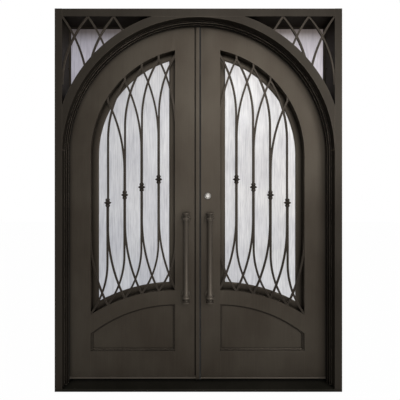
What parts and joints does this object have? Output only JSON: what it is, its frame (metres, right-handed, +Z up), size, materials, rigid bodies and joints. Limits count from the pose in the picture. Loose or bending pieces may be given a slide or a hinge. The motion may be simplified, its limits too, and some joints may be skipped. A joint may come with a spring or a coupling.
{
  "type": "wrought iron double entry door in its frame",
  "caption": "Wrought iron entry door: arched glazed leaves behind interlaced bar grilles, with recessed lower panels and pull handles, in a rectangular frame with glazed corners.",
  "frame": {"origin": "middle of the sill's underside, halfway through the frame's depth", "axes": "+X to the right seen from outdoors, +Y indoors, +Z up"},
  "size_m": [1.829, 0.215, 2.438],
  "materials": {
    "bronze": "satin dark bronze",
    "grille_bronze": "satin dark bronze, brushed",
    "handle_bronze": "satin dark bronze",
    "sill_bronze": "matt dark bronze",
    "sweep": "matt",
    "glass": "obscured rain glass",
    "lock_steel": "satin"
  },
  "bodies": {
    "frame": {"left_jamb": "bronze", "right_jamb": "bronze", "head": "bronze", "sill": "sill_bronze", "arch_band": "bronze", "side_stops": "bronze", "arch_stop": "bronze", "corner_grilles": "grille_bronze", "corner_glass": "glass", "corner_beads": "bronze", "frame_hinges": "bronze"},
    "left_leaf": {"left_hinge_stile": "bronze", "left_arch_rail": "bronze", "left_meeting_stile": "bronze", "left_middle_rail": "bronze", "left_bottom_rail": "bronze", "left_kick_panel": "bronze", "left_kick_moulding": "bronze", "left_grille": "grille_bronze", "left_collars": "grille_bronze", "left_sash": "bronze", "left_glass": "glass", "left_door_sweep": "sweep", "left_outer_handle": "handle_bronze", "left_inner_handle": "handle_bronze", "left_leaf_hinges": "bronze", "astragal": "bronze"},
    "right_leaf": {"right_hinge_stile": "bronze", "right_arch_rail": "bronze", "right_meeting_stile": "bronze", "right_middle_rail": "bronze", "right_bottom_rail": "bronze", "right_kick_panel": "bronze", "right_kick_moulding": "bronze", "right_grille": "grille_bronze", "right_collars": "grille_bronze", "right_sash": "bronze", "right_glass": "glass", "right_door_sweep": "sweep", "right_outer_handle": "handle_bronze", "right_inner_handle": "handle_bronze", "right_leaf_hinges": "bronze", "lock_cylinder": "lock_steel", "thumb_turn": "lock_steel"}
  },
  "joints": [
    {"name": "left_leaf_swing", "type": "hinge", "parent": "frame", "child": "left_leaf", "pos_m": [-0.857, 0.075, 0], "axis": [0, 0, 1], "range_deg": [0, 100]},
    {"name": "right_leaf_swing", "type": "hinge", "parent": "frame", "child": "right_leaf", "pos_m": [0.857, 0.075, 0], "axis": [0, 0, -1], "range_deg": [0, 100]}
  ]
}
